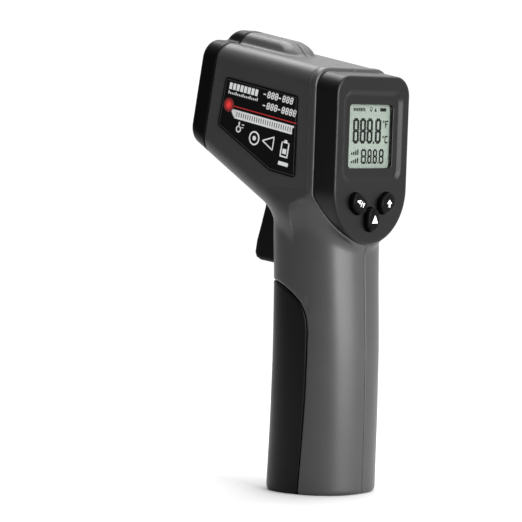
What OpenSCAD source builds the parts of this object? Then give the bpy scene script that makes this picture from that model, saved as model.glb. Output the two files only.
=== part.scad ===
// Handheld infrared thermometer: a pistol-shaped clamshell body standing on the flat foot of its handle.
// Millimetres. +Z up, muzzle towards -X, display towards +X, the labelled left side towards -Y.
// The origin is the middle of the foot.

/* [Head] */
// Upward tilt of the barrel-shaped head, degrees
head_tilt = 12.3; // [10:0.1:14]
// Height at which the head axis crosses the handle axis
head_z = 118; // [116:1:120]
// Half of the head's width
head_half_w = 17.2; // [16.8:0.1:17.6]
// Height of the flat top above the head axis
head_top = 17.6; // [17:0.1:18]
// Depth of the muzzle's underside below the head axis
head_bottom = 16.6; // [16:0.1:17.5]
// Radius of the long edges of the head
head_edge_r = 6; // [4:0.5:7]
// Distance from the handle axis to the front of the bezel, along the head
muzzle_reach = 39; // [38:0.5:41]
// Depth of the black front bezel
bezel_depth = 6.6; // [5.5:0.1:7]
// Height of the laser ridge above the flat top
ridge_rise = 3.8; // [3.4:0.1:4.2]

/* [Handle] */
// Wall thickness of the two body halves
wall = 2; // [1.8:0.1:2.2]
// Wall thickness of the battery door
door_wall = 1.8; // [1.6:0.1:2]
// Gap around the battery door
door_gap = 0.45; // [0.35:0.05:0.6]

/* [Display housing] */
// Half of the housing's width, which is also the radius of its round lower end
panel_r = 17.4; // [17:0.1:17.6]
// Lean of the display face from upright, degrees
panel_lean = 2.6; // [2:0.1:4]
// Depth of the black housing behind the display face
panel_depth = 8.7; // [8:0.1:9]
// How far the buttons stand out of the face
button_rise = 2; // [1.4:0.1:2.2]
// How far a button is pressed
button_travel = 0.8; // [0.5:0.1:0.9]

/* [Trigger] */
// Half of the trigger's width
trigger_half_w = 5.2; // [4.5:0.1:5.6]

/* [Power] */
// Radius of an AAA cell
cell_r = 5.25; // [5.1:0.05:5.25]
// Length of an AAA cell's can, without its button
cell_len = 43.7; // [43.3:0.1:43.7]

/* [Hidden] */

eps = 0.01;
// Thickness of the sections that hulls are stretched between
leaf = 0.1;
far = 200;
seam = 0.05;
round_fn = 48;

// Handle sections: height, middle along X, half length, half width
levels = [[0, 0.1, 17.5, 15.2], [22, 1.5, 17, 15.3], [45, 2.5, 16.5, 15.5], [69, 2.7, 15.8, 15.8],
    [85, 2.6, 15.8, 16.3], [100, 3.4, 14, 17]];
handle_power = 2.3;
foot_round = 1.2;

bezel_back = bezel_depth - muzzle_reach;
ridge_top = head_top + ridge_rise;
ridge_half_w = 7.4;
ridge_top_half_w = 4.9;
ridge_edge_r = 2.2;
ridge_nose = 3.4;
ridge_tail = 14.9;
ridge_wall = 1.4;
// Where the head's sloping underside ends over the handle
slope_end_x = 3;
slope_end_z = 81.5;
laser_w = 17;
laser_r = 3;
optic_w = 0.3;
barrel_r = 12.6;

// The display face passes through this point and leans back by panel_lean
face_x = 21.9;
face_z = 110;
face_thick = 2.9;
lcd_front = 2.2;
arc_v = -14.5;
panel_top = 20.5;
corner_r = 6;
seam_kink_v = -16.8;
seam_foot_v = -29.6;
seam_foot_n = -1;
recess_half_w = 14.3;
recess_low = -12.6;
recess_high = 16.3;
window_half_w = 10.2;
window_low = -8;
window_high = 11.7;
board_n = -11.6;
board_thick = 1.6;

// Button centres across and up the display face, and the turn of each oval
button_r = 2.75;
button_oval = 0.9;
buttons = [[-6.7, -18.9, -35], [6.7, -18.9, 35], [0, -23.9, 90]];

trigger_x = -9;
trigger_z = 92.5;
trigger_pin_r = 1;

door_x = -6;
door_z = 2.4;
door_pin_r = 0.8;
door_floor_back = -8.3;
// Barrels on the foot plate that carry the door's pins, and the ears of the door that turn on them
barrel_in_r = 2;
ear_r = 1.9;
barrel_from = 6.4;
barrel_to = 10.4;
ear_from = 10.9;
ear_to = 14.6;
pin_end = 13.2;
door_edge = [[-40, 67.4], [-8, 66.9], [-2, 65.4], [2.6, 62.6], [6.2, 59.2], [7.6, 54], [7.5, 48], [6.4, 28],
    [2.4, -8], [-40, -8]];

cell_x = -4.4;
cell_y = 5.7;
cell_z = 13.4;
tray_low = 11;
tray_high = 61.5;

// Case screws: X and Z of each, and the Y of its head
screws = [[-25.4, 106.6, 13.4], [-2.2, 131.4, 13.4], [4.6, 70, 13.4], [9.6, 6.6, 10.6]];
screw_r = 1.1;
post_r = 3.3;

// ---------- frames and shared outlines ----------

// Head axes: local X runs back along the head, local Z is square to it
module head_frame() {
    translate([0, 0, head_z]) rotate([0, head_tilt, 0]) children();
}

// Display axes: local X points out of the face, local Z runs up it
module panel_frame() {
    translate([face_x, 0, face_z]) rotate([0, panel_lean, 0]) children();
}

// A Y-Z outline made into a plate that starts at x and is t thick
module plate(x, t) {
    translate([x, 0, 0]) rotate([90, 0, 90]) linear_extrude(t) children();
}

// An X-Z outline made into a slab between two Y values
module slab(y0, y1) {
    translate([0, y1, 0]) rotate([90, 0, 0]) linear_extrude(y1 - y0) children();
}

// A cylinder along Y
module rod(x, z, r, y0, y1) {
    translate([x, y0, z]) rotate([-90, 0, 0]) cylinder(r = r, h = y1 - y0, $fn = round_fn);
}

// A cylinder along local X
module axle(x0, x1, w, r) {
    translate([x0, 0, w]) rotate([0, 90, 0]) cylinder(r = r, h = x1 - x0, $fn = round_fn);
}

module round_rect(x0, z0, x1, z1, r) {
    for (x = [x0 + r, x1 - r]) for (z = [z0 + r, z1 - r]) translate([x, z]) circle(r, $fn = round_fn);
    translate([x0 + r, z0]) square([x1 - x0 - 2 * r, z1 - z0]);
    translate([x0, z0 + r]) square([x1 - x0, z1 - z0 - 2 * r]);
}

// Flat-topped outline with a round lower end, inset by i
module d_outline(i, top) {
    r = panel_r - i;
    c = corner_r - i;
    translate([0, arc_v]) circle(r, $fn = 2 * round_fn);
    translate([-r, arc_v]) square([2 * r, top - i - c - arc_v]);
    translate([-r + c, arc_v]) square([2 * (r - c), top - i - arc_v]);
    for (s = [-1, 1]) translate([s * (r - c), top - i - c]) circle(c, $fn = round_fn);
}

function signed_power(v, p) = sign(v) * pow(abs(v), p);
function oval(a, b) = [for (k = [0:round_fn - 1]) let (t = 360 * k / round_fn)
    [a * signed_power(cos(t), 2 / handle_power), b * signed_power(sin(t), 2 / handle_power)]];

// ---------- outer form ----------

module handle_level(l, i, z) {
    translate([l[1], 0, z]) linear_extrude(leaf) polygon(oval(l[2] - i, l[3] - i));
}

// Handle with its surface inset by i. Inset forms run on below the foot, so that they cut it open.
module handle_form(i) {
    hull() {
        handle_level(levels[0], i + (i == 0 ? foot_round : 0), i == 0 ? 0 : -1);
        handle_level(levels[0], i, foot_round);
        handle_level(levels[1], i, levels[1][0] - leaf);
    }
    for (k = [1:len(levels) - 2]) hull() {
        handle_level(levels[k], i, levels[k][0]);
        handle_level(levels[k + 1], i, levels[k + 1][0] - leaf);
    }
}

// Section of the muzzle, inset by i
module head_outline(i) {
    w = head_half_w - i;
    round_rect(-w, i - head_bottom, w, head_top - i, head_edge_r - i);
}

// Section of the head over the handle, inset by i
module saddle_outline(i) {
    w = head_half_w - i;
    top = head_z + (head_top - slope_end_x * sin(head_tilt)) / cos(head_tilt);
    round_rect(-w, slope_end_z + i, w, top - i, head_edge_r - i);
}

// Head from the muzzle to the display housing, inset by i
module head_form(i) {
    reach = (i == 0) ? 0 : 6;
    hull() {
        head_frame() plate(-muzzle_reach - reach, leaf) head_outline(i + 1);
        head_frame() plate(-muzzle_reach + 1 - reach, leaf) head_outline(i);
        plate(slope_end_x - leaf, leaf) saddle_outline(i);
    }
    hull() {
        plate(slope_end_x, leaf) saddle_outline(i);
        panel_frame() plate(-panel_depth, leaf) d_outline(i + 0.2, panel_top + 1.6);
    }
}

// Arched section of the laser ridge, lowered by d and inset by i
module ridge_outline(i, d) {
    top = ridge_top - i - d;
    lean = (ridge_half_w - ridge_top_half_w) / ridge_rise;
    wide = ridge_half_w - i;
    offset(r = ridge_edge_r - i) offset(delta = i - ridge_edge_r)
        polygon([[-wide, head_top - 6], [wide, head_top - 6], [wide, head_top],
            [wide - lean * (top - head_top), top], [lean * (top - head_top) - wide, top],
            [-wide, head_top]]);
}

// Ridge on top of the head that houses the laser, inset by i. It is rounded off at both ends.
module ridge_form(i) {
    head_frame() hull() {
        for (t = [0:22.5:90])
            plate(i + ridge_nose * (1 - cos(t)) - muzzle_reach, leaf)
                ridge_outline(i, ridge_rise * (1 - sin(t)));
        plate(-ridge_tail - i, leaf) ridge_outline(i, 0);
        plate(2.2 - ridge_tail - i, leaf) ridge_outline(i, 1);
        plate(5.4 - ridge_tail - i, leaf) translate([0, head_top - 6.4])
            square([8 - i, 2 * (6 - i)], center = true);
    }
}

// Raised rim of the body around the display housing
module collar_form() {
    panel_frame() plate(-panel_depth - 2.6, panel_depth + 1.6) d_outline(-0.3, panel_top + 1.3);
}

// Everything behind this slanting seam belongs to the display housing
module cap_zone(g) {
    panel_frame() slab(-far, far) polygon([[g - panel_depth, far], [g - panel_depth, seam_kink_v + g],
        [seam_foot_n + g, seam_foot_v + g], [seam_foot_n + g, -40], [far, -40], [far, far]]);
}

// Everything ahead of this seam belongs to the front bezel
module bezel_zone(g) {
    head_frame() slab(-far, far) polygon([[-far, -far], [bezel_back - g, -far], [bezel_back - g, far],
        [-far, far]]);
}

module door_outline(g) {
    offset(r = 3 + g) offset(r = -3) polygon(door_edge);
}

// ---------- body halves ----------

module case_form() {
    handle_form(0);
    head_form(0);
    ridge_form(0);
    difference() {
        collar_form();
        head_frame() translate([-far, -far, head_top]) cube(2 * far);
    }
}

module case_cavity() {
    difference() {
        union() {
            handle_form(wall);
            head_form(wall);
            ridge_form(ridge_wall);
            panel_frame() plate(-panel_depth - 4, panel_depth + 2.4) d_outline(wall, panel_top);
        }
        // Foot plate
        translate([-far, -far, -2]) cube([2 * far, 2 * far, wall + 2]);
        // Screw posts and the trigger pin's posts
        for (s = screws) rod(s[0], s[1], post_r, -far, far);
        for (y = [-15.5, 6]) rod(trigger_x, trigger_z, 2.4, y, y + 9.5);
        pin_barrels();
    }
}

module pin_barrels() {
    for (y = [-barrel_to, barrel_from]) rod(door_x, door_z, barrel_in_r, y, y + barrel_to - barrel_from);
}

// Room for the battery door: its walls, its floor and its ears
module door_room() {
    difference() {
        slab(-far, far) door_outline(door_gap);
        // The foot plate stays inside the door's side walls
        intersection() {
            translate([door_x, -far, -2]) cube([far, 2 * far, 2 + wall]);
            handle_form(door_wall + door_gap);
        }
    }
    for (y = [-far, ear_from - 0.3]) {
        rod(door_x, door_z, ear_r + 0.4, y, y + far - ear_from + 0.3);
        translate([door_x - ear_r - 0.4, y, -1]) cube([2 * ear_r + 0.8, far - ear_from + 0.3, 1 + door_z]);
    }
}

// The left half's foot plate laps under the right half, so the middle of the foot is one piece
module foot_tongue(g) {
    translate([-5 - g, -1, -1]) cube([13 + 2 * g, 2.6 + g, wall + 2]);
}

module trigger_slot() {
    slab(-trigger_half_w - 0.35, trigger_half_w + 0.35)
        polygon([[-40, 69.6], [-5, 69.6], [-5, 99], [-19.2, 100], [-19.2, 92], [-40, 88]]);
}

module finger_notch() {
    for (y = [-17.6, 17.6]) translate([8.2, y, 59.6]) rotate([0, 25, 0]) scale([1.8, 2.2, 4])
        sphere(1, $fn = 24);
}

module case_cuts() {
    case_cavity();
    bezel_zone(-0.1);
    cap_zone(-0.1);
    trigger_slot();
    difference() {
        door_room();
        pin_barrels();
    }
    finger_notch();
    for (s = screws) rod(s[0], s[1], screw_r + 0.05, -10, far);
    for (s = screws) rod(s[0], s[1], 2.5, s[2] - 1.6, far);
    rod(trigger_x, trigger_z, trigger_pin_r + 0.05, -11, 11);
    rod(door_x, door_z, door_pin_r + 0.05, -pin_end, pin_end);
}

module half_case(side) {
    difference() {
        intersection() {
            case_form();
            union() {
                translate([-far, (side > 0) ? seam : -far - seam, -eps]) cube([2 * far, far, far]);
                if (side < 0) foot_tongue(0);
            }
        }
        case_cuts();
        if (side > 0) foot_tongue(0.1);
    }
}

module left_shell() {
    color([0.25, 0.26, 0.27]) half_case(-1);
}

module right_shell() {
    color([0.25, 0.26, 0.27]) half_case(1);
}

// ---------- front optics ----------

module front_bezel() {
    color([0.06, 0.06, 0.065]) difference() {
        intersection() {
            union() {
                head_form(0);
                ridge_form(0);
            }
            bezel_zone(0);
        }
        head_frame() {
            translate([-muzzle_reach - 1, 0, optic_w]) rotate([0, 90, 0])
                cylinder(r1 = 14.1, r2 = 11.4, h = 4, $fn = 2 * round_fn);
            translate([-muzzle_reach + 2.5, 0, optic_w]) rotate([0, 90, 0])
                cylinder(r = barrel_r + 0.1, h = 10, $fn = 2 * round_fn);
            axle(-far, 0, laser_w, 1.4);
            axle(bezel_back - 4.4, 0, laser_w, 2.3);
        }
    }
}

module laser_window() {
    color([0.7, 0.25, 0.25]) head_frame() axle(bezel_back - 4.3, bezel_back - 3.5, laser_w, 2.2);
}

module laser_module() {
    color([0.76, 0.6, 0.3]) head_frame() difference() {
        axle(-31.4, -19.4, laser_w, laser_r);
        axle(-32, -29.8, laser_w, 1.6);
    }
}

// Funnel between the muzzle and the sensor, turned about the optical axis
module lens_barrel() {
    color([0.08, 0.08, 0.08]) head_frame() translate([0, 0, optic_w]) rotate([0, 90, 0])
        rotate_extrude($fn = 2 * round_fn)
            polygon([[11.2, -36.4], [barrel_r, -36.4], [barrel_r, -32.8], [10.4, -32], [9, -21], [9, -10.4],
                [7.6, -10.4], [7.6, -22], [6.4, -22], [6.4, -23]]);
}

module fresnel_lens() {
    color([0.85, 0.88, 0.9, 0.7]) head_frame() axle(-21.9, -20.9, optic_w, 7.5);
}

module lens_ring() {
    color([0.15, 0.15, 0.15]) head_frame() difference() {
        axle(-20.8, -19.2, optic_w, 7.55);
        axle(-21.5, -18, optic_w, 5.6);
    }
}

// Thermopile in a round metal can with a rim and a small window
module ir_sensor() {
    color([0.75, 0.75, 0.76]) head_frame() difference() {
        union() {
            axle(-14, -10.6, optic_w, 4.1);
            axle(-10.9, -10.3, optic_w, 4.6);
        }
        axle(-14.5, -13.4, optic_w, 1.7);
    }
}

module sensor_board() {
    color([0.1, 0.35, 0.2]) head_frame() translate([-10.25, -8, optic_w - 8]) cube([1.2, 16, 16]);
}

// ---------- display housing ----------

module cap_form() {
    panel_frame() hull() {
        plate(-panel_depth, eps) d_outline(0, panel_top + 1.4);
        plate(-0.9, eps) d_outline(0, panel_top + 0.1);
        plate(-eps, eps) d_outline(0.8, panel_top);
    }
}

module oval_button_outline(r) {
    for (x = [-button_oval, button_oval]) translate([x, 0]) circle(r, $fn = round_fn);
    translate([-button_oval, -r]) square([2 * button_oval, 2 * r]);
}

module rear_cap() {
    color([0.07, 0.07, 0.075]) difference() {
        intersection() {
            cap_form();
            cap_zone(0);
        }
        panel_frame() {
            plate(-panel_depth - 2, panel_depth + 2 - face_thick) d_outline(wall, panel_top);
            plate(-0.7, 5) round_rect(-recess_half_w, recess_low, recess_half_w, recess_high, 4);
            plate(-face_thick - 0.1, face_thick - lcd_front + 0.15) lcd_outline(0.15);
            plate(-10, 15) round_rect(-window_half_w, window_low, window_half_w, window_high, 1.2);
            for (b = buttons) plate(-10, 15) translate([b[0], b[1]]) rotate(b[2])
                oval_button_outline(button_r + 0.18);
        }
    }
}

module display_window() {
    color([0.8, 0.85, 0.85, 0.4]) panel_frame()
        plate(-2.1, 0.7) round_rect(-window_half_w + 0.05, window_low + 0.05, window_half_w - 0.05,
            window_high - 0.05, 1.15);
}

// Outline of the display glass, larger by g
module lcd_outline(g) {
    translate([-12.5 - g, window_low - 2.4 - g]) square([25 + 2 * g, 24.4 + 2 * g]);
}

module lcd_glass() {
    color([0.66, 0.72, 0.66]) panel_frame() plate(-lcd_front - 2, 2) lcd_outline(0);
}

module lcd_backlight() {
    color([0.9, 0.92, 0.95]) panel_frame() plate(-6.4, 2.1) translate([-12, window_low - 1.6])
        square([24, 22.6]);
}

module lcd_connector() {
    color([0.85, 0.5, 0.6]) panel_frame() plate(board_n + board_thick, 5.7)
        translate([-11, window_low - 4.6])
        square([22, 1.9]);
}

module main_board() {
    color([0.08, 0.32, 0.18]) panel_frame() difference() {
        plate(board_n, board_thick) d_outline(3, panel_top);
        for (y = [-11.5, 11.5]) translate([board_n - 1, y, 13.5]) rotate([0, 90, 0])
            cylinder(r = 1.1, h = 4, $fn = round_fn);
    }
}

module control_chip() {
    color([0.1, 0.1, 0.11]) panel_frame() plate(board_n - 1.3, 1.25) translate([-5, -4]) square(10);
}

module buzzer() {
    color([0.12, 0.12, 0.12]) panel_frame() translate([0, -6, -12]) difference() {
        axle(board_n - 3.2, board_n - 0.05, 0, 4.5);
        axle(board_n - 4, board_n - 2.6, 0, 0.9);
    }
}

// One push switch under each button
module button_switches() {
    color([0.7, 0.7, 0.68]) panel_frame() for (b = buttons) {
        translate([board_n + board_thick, b[0] - 2.3, b[1] - 2.3]) cube([2.4, 4.6, 4.6]);
        translate([0, b[0], b[1]]) axle(board_n + board_thick + 2.3, board_n + board_thick + 3.2, 0, 1.2);
    }
}

module button_cap(b) {
    back = board_n + board_thick + 3.3 + button_travel;
    panel_frame() translate([0, b[0], b[1]]) rotate([b[2], 0, 0]) {
        plate(-face_thick - 0.6, face_thick + 0.6 + button_rise - 0.5) oval_button_outline(button_r);
        plate(button_rise - 0.5 - eps, 0.5 + eps) oval_button_outline(button_r - 0.5);
        plate(-face_thick - 1.5, 0.95) oval_button_outline(button_r + 0.25);
        axle(back, -face_thick - 1.4, 0, 1.4);
    }
}

module unit_button() {
    color([0.07, 0.07, 0.07]) button_cap(buttons[0]);
}

module lamp_button() {
    color([0.07, 0.07, 0.07]) button_cap(buttons[1]);
}

module laser_button() {
    color([0.07, 0.07, 0.07]) button_cap(buttons[2]);
}

module board_screws() {
    color([0.72, 0.72, 0.73]) panel_frame() for (y = [-11.5, 11.5]) translate([0, y, 13.5]) {
        axle(board_n - 1.3, board_n - 0.02, 0, 2);
        axle(board_n - 0.1, board_n + 4.2, 0, 1.05);
    }
}

// ---------- trigger ----------

module trigger() {
    color([0.05, 0.05, 0.05]) difference() {
        union() {
            hull() {
                trigger_slice(trigger_half_w, 1.6);
                trigger_slice(trigger_half_w - 1.6, 0);
            }
            rod(trigger_x, trigger_z, 2.6, -trigger_half_w, trigger_half_w);
            translate([trigger_x - 3, -trigger_half_w + 0.6, 86]) cube([3.6, 2 * trigger_half_w - 1.2, 6.5]);
        }
        rod(trigger_x, trigger_z, trigger_pin_r + 0.06, -far, far);
        rod_x(-14.2, -7, 79, 2);
    }
}

// Outline of the finger piece at half width y, with its front pulled in by i
module trigger_slice(y, i) {
    slab(-y, y) polygon([[-10, 71.6 + i / 3], [-13.5, 71.3 + i / 3], [-22.4 + i, 72.6 + i / 2],
        [-23.6 + i, 73.6 + i / 3], [-23.9 + i, 75], [-23 + i, 79], [-21.2 + i, 84], [-19.2 + i, 90],
        [-17.9 + i, 97.2], [-14, 97.8], [-10, 90.6]]);
}

// A cylinder along X
module rod_x(x0, x1, z, r) {
    translate([x0, 0, z]) rotate([0, 90, 0]) cylinder(r = r, h = x1 - x0, $fn = round_fn);
}

module trigger_pin() {
    color([0.75, 0.75, 0.77]) rod(trigger_x, trigger_z, trigger_pin_r, -10.5, 10.5);
}

// Wire coil of n turns from z = 0 to h, with its radius going from r0 to r1
module coil(r0, r1, h, n, wire) {
    steps = 14 * n;
    sides = 6;
    points = [for (k = [0:steps]) let (f = k / steps, a = 360 * n * f, r = r0 + (r1 - r0) * f)
        for (j = [0:sides - 1]) let (b = 360 * j / sides)
            [(r + wire * cos(b)) * cos(a), (r + wire * cos(b)) * sin(a), h * f + wire * sin(b)]];
    faces = [for (k = [0:steps - 1]) for (j = [0:sides - 1]) let (m = (j + 1) % sides)
        [k * sides + j, (k + 1) * sides + j, (k + 1) * sides + m, k * sides + m]];
    ends = [[for (j = [0:sides - 1]) j], [for (j = [sides - 1:-1:0]) steps * sides + j]];
    polyhedron(points, concat(faces, ends), convexity = 8);
}

module trigger_spring() {
    color([0.8, 0.8, 0.82]) translate([-11.7, 0, 79]) rotate([0, 90, 0]) coil(1.4, 1.4, 8, 6, 0.22);
}

module trigger_switch() {
    color([0.12, 0.12, 0.13]) difference() {
        union() {
            translate([-3.2, -3, 75.6]) cube([6.4, 6, 11.4]);
            translate([-8.7, -1.2, 83.4]) cube([5.6, 2.4, 1.8]);
        }
        for (z = [77, 86]) rod(1.4, z, 0.7, -far, far);
    }
}

// ---------- battery door and power ----------

// Everything inside the door: the floor of the door stays solid ahead of its rear edge
module door_hollow() {
    difference() {
        handle_form(door_wall);
        translate([-far, -far, -2]) cube([far + door_floor_back, 2 * far, 2 + door_wall]);
    }
}

module battery_door() {
    color([0.06, 0.06, 0.065]) difference() {
        intersection() {
            handle_form(0);
            slab(-far, far) door_outline(0);
        }
        difference() {
            door_hollow();
            for (y = [-ear_to, ear_from]) rod(door_x, door_z, ear_r, y, y + ear_to - ear_from);
        }
        rod(door_x, door_z, door_pin_r + 0.07, -pin_end, pin_end);
    }
}

// Steel pins that join the door to the foot
module door_pins() {
    color([0.75, 0.75, 0.77]) for (y = [0.2 - pin_end, barrel_from + 0.2])
        rod(door_x, door_z, door_pin_r, y, y + pin_end - barrel_from - 0.4);
}

module battery_tray() {
    color([0.13, 0.13, 0.14]) difference() {
        translate([cell_x, -12.2, tray_low]) cube([7.2, 24.4, tray_high - tray_low]);
        for (y = [-cell_y, cell_y]) translate([cell_x, y, tray_low + 1]) cylinder(r = cell_r + 0.25,
            h = tray_high - tray_low - 2, $fn = round_fn);
    }
}

module contact_springs() {
    color([0.8, 0.8, 0.82]) {
        translate([cell_x, cell_y, tray_low + 1.25]) coil(3.6, 2.2, 0.85, 2, 0.2);
        translate([cell_x, -cell_y, cell_z + cell_len + 0.3]) coil(2.2, 3.6, 2.4, 3, 0.2);
    }
}

module contact_plates() {
    color([0.8, 0.8, 0.82]) {
        translate([cell_x + 0.1, -cell_y - 4, tray_low + 1.05]) cube([3.5, 8, 0.4]);
        translate([cell_x + 0.1, cell_y - 4, tray_high - 1.5]) cube([3.5, 8, 0.4]);
    }
}

// A cell stood on its flat end
module aaa_cell() {
    cylinder(r = cell_r, h = cell_len, $fn = round_fn);
    cylinder(r = 1.9, h = cell_len + 0.8, $fn = round_fn);
}

module cell_left() {
    color([0.55, 0.57, 0.6]) translate([cell_x, -cell_y, cell_z + cell_len]) rotate([180, 0, 0]) aaa_cell();
}

module cell_right() {
    color([0.55, 0.57, 0.6]) translate([cell_x, cell_y, cell_z]) aaa_cell();
}

module case_screws() {
    color([0.3, 0.3, 0.31]) for (s = screws) difference() {
        union() {
            rod(s[0], s[1], screw_r, -9, s[2] - 1.4);
            rod(s[0], s[1], 2.2, s[2] - 1.5, s[2]);
        }
        for (t = [0, 90]) translate([s[0], s[2], s[1]]) rotate([0, t, 0])
            cube([2.8, 1.4, 0.5], center = true);
    }
}

// ---------- inner leads ----------

// Insulated lead through the given points
module lead(points, r) {
    for (k = [0:len(points) - 2]) hull() {
        translate(points[k]) sphere(r, $fn = 8);
        translate(points[k + 1]) sphere(r, $fn = 8);
    }
}

module laser_lead() {
    color([0.7, 0.1, 0.1])
        lead([[-14.6, 0, 137.6], [-11, 5, 133.4], [-6, 9.6, 127.8], [4, 8.5, 126.4], [9.3, 9, 124]], 0.6);
}

module sensor_lead() {
    color([0.85, 0.85, 0.85]) lead([[-7.6, 0, 119.6], [-2, -2, 118], [4, -3, 119], [9.3, -3, 120]], 0.7);
}

module battery_lead() {
    color([0.15, 0.15, 0.7])
        lead([[0, 0, 62.4], [8, 0, 64.4], [10, 0, 72], [8.4, 2, 81], [7.8, 3, 90]], 0.7);
}

// ---------- labels ----------

// Five-cornered sticker on the side of the head
module label_outline() {
    offset(r = 1.2, $fn = 24) offset(r = -1.2)
        polygon([[-26.8, 7.6], [4.8, 7.6], [8.9, -17.6], [-2.4, -17.6], [-27.3, -8.2]]);
}

module left_label() {
    color([0.04, 0.04, 0.045]) head_frame() slab(-head_half_w - 0.2, -head_half_w - eps) label_outline();
}

module right_label() {
    color([0.04, 0.04, 0.045]) head_frame() slab(head_half_w + eps, head_half_w + 0.2) label_outline();
}

left_shell();
right_shell();
front_bezel();
laser_window();
laser_module();
lens_barrel();
fresnel_lens();
lens_ring();
ir_sensor();
sensor_board();
rear_cap();
display_window();
lcd_glass();
lcd_backlight();
lcd_connector();
main_board();
control_chip();
buzzer();
button_switches();
unit_button();
lamp_button();
laser_button();
trigger();
trigger_pin();
trigger_spring();
trigger_switch();
battery_door();
door_pins();
battery_tray();
contact_springs();
contact_plates();
cell_left();
cell_right();
case_screws();
board_screws();
laser_lead();
sensor_lead();
battery_lead();
left_label();
right_label();
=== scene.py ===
"""Looks of the handheld infrared thermometer: smooth moulded shells, a display and printed labels."""

import math

import bmesh
import bpy
import numpy as np
from mathutils import Matrix, Vector


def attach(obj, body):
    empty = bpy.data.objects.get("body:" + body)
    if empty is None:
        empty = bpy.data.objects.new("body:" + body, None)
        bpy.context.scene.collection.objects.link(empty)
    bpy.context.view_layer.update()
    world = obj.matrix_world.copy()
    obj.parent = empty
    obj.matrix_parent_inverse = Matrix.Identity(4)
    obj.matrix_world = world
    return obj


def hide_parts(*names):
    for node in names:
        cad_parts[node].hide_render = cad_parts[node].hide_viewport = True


MM = 0.001
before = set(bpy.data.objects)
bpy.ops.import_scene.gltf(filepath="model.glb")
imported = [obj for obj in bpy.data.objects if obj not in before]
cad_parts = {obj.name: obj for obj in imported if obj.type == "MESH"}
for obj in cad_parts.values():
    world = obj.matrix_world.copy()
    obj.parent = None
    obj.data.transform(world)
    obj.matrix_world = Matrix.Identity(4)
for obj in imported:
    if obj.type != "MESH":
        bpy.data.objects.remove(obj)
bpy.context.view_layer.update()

# ---------- shape of the body, in millimetres ----------

HEAD_TILT = math.radians(12.3)
HEAD_Z = 118.0
HEAD_HALF_W = 17.2
HEAD_TOP = 17.6
HEAD_EDGE_R = 6.0
MUZZLE = -39.0
BEZEL_BACK = -32.4
RIDGE_TOP = 21.4
RIDGE_HALF_W = 7.4
RIDGE_TOP_HALF_W = 4.9
RIDGE_BLEND = 0.8
WALL = 2.0
DOOR_WALL = 1.8
DOOR_GAP = 0.4
SEAM_GAP = 0.04
JOINT_GAP = 0.12

PANEL_LEAN = math.radians(2.6)
FACE_X, FACE_Z = 21.9, 110.0
PANEL_R = 17.4
PANEL_DEPTH = 8.7
PANEL_TOP = 20.5
PANEL_CORNER = 6.0
ARC_V = -14.5
# Recess and window: half width, low edge and high edge
RECESS = (14.3, -12.6, 16.3)
WINDOW = (10.2, -8.0, 11.7)
TRAY_DEPTH, TRAY_SLOPE = 0.8, 2.0
FACE_WALL = 2.9
# Buttons: across the face, up it, and the turn of the oval in degrees
BUTTONS = {"unit_button": (-6.7, -18.9, -35), "lamp_button": (6.7, -18.9, 35), "laser_button": (0, -23.9, 90)}
BUTTON_R, BUTTON_HALF = 2.75, 0.9
BUTTON_RISE = 2.0
# Display glass: its front, then half width, low edge and high edge of its pocket
LCD_FACE = -2.2
LCD_POCKET = (12.65, -10.55, 14.15)

# Handle sections: height, middle along X, half length, half width
LEVELS = np.array([[-5, 0.0, 17.5, 15.2], [0, 0.1, 17.5, 15.2], [22, 1.5, 17, 15.3], [45, 2.5, 16.5, 15.5],
                   [69, 2.7, 15.8, 15.8], [85, 2.6, 15.8, 16.3], [100, 3.4, 14, 17], [130, 3.4, 10, 17]])
HANDLE_POWER = 2.3
HANDLE_END = 101.0
DOOR_EDGE = [(-40, 67.4), (-8, 66.9), (-2, 65.4), (2.6, 62.6), (6.2, 59.2), (7.6, 54), (7.5, 48), (6.4, 28),
             (2.4, -8), (3.0, -6), (-40, -6)]
DOOR_PIVOT = (-6.0, 2.4)
DOOR_PIN_R, DOOR_PIN_END = 0.87, 13.2
EAR_R = 1.9
TRIGGER_PIVOT = (-9.0, 92.5)
TRIGGER_PIN_R = 1.06
TRIGGER_HALF_W = 5.2
TRIGGER_EDGE = [(-10, 71.8), (-13.5, 71.4), (-21.6, 72.5), (-23.3, 73.4), (-23.9, 75), (-23.1, 79),
                (-21.3, 84), (-19.3, 90), (-17.9, 97.2), (-14, 97.8), (-10, 90.6)]
TRIGGER_SLOT = [(-40, 69.6), (-5, 69.6), (-5, 99), (-19.2, 100), (-19.2, 92), (-40, 88)]
SPRING_Z = 79
# Underside of the head, from the muzzle to the handle
SLOPE = ((-40.66, 109.88), (3.0, 81.5))
# Screws: X, Z, and the Y of the head
SCREWS = [(-25.4, 106.6, 13.4), (-2.2, 131.4, 13.4), (4.6, 70, 13.4), (9.6, 6.6, 10.6)]
SCREW_HEAD_R, SCREW_POST_R = 2.5, 3.3
# Heights of the optical axis and of the laser in the head, and the radius of the bore round the lens barrel
OPTIC_W = 0.3
LASER_W = 17.0
BORE_R = 12.7


# ---------- distance functions on arrays of points, in millimetres ----------

def head_uw(x, z):
    """Along the head from muzzle to display, and square to it."""
    dz = z - HEAD_Z
    c, s = math.cos(HEAD_TILT), math.sin(HEAD_TILT)
    return x * c - dz * s, x * s + dz * c


def panel_nv(x, z):
    """Out of the display face, and up it."""
    dx, dz = x - FACE_X, z - FACE_Z
    c, s = math.cos(PANEL_LEAN), math.sin(PANEL_LEAN)
    return dx * c - dz * s, dx * s + dz * c


def union(a, b, k=0.0):
    """Smaller of two distances, blended over k."""
    if k <= 0:
        return np.minimum(a, b)
    h = np.clip(0.5 + 0.5 * (b - a) / k, 0, 1)
    return b + (a - b) * h - k * h * (1 - h)


def cut(a, b, k=0.0):
    """Larger of two distances, blended over k."""
    return -union(-a, -b, k)


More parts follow.
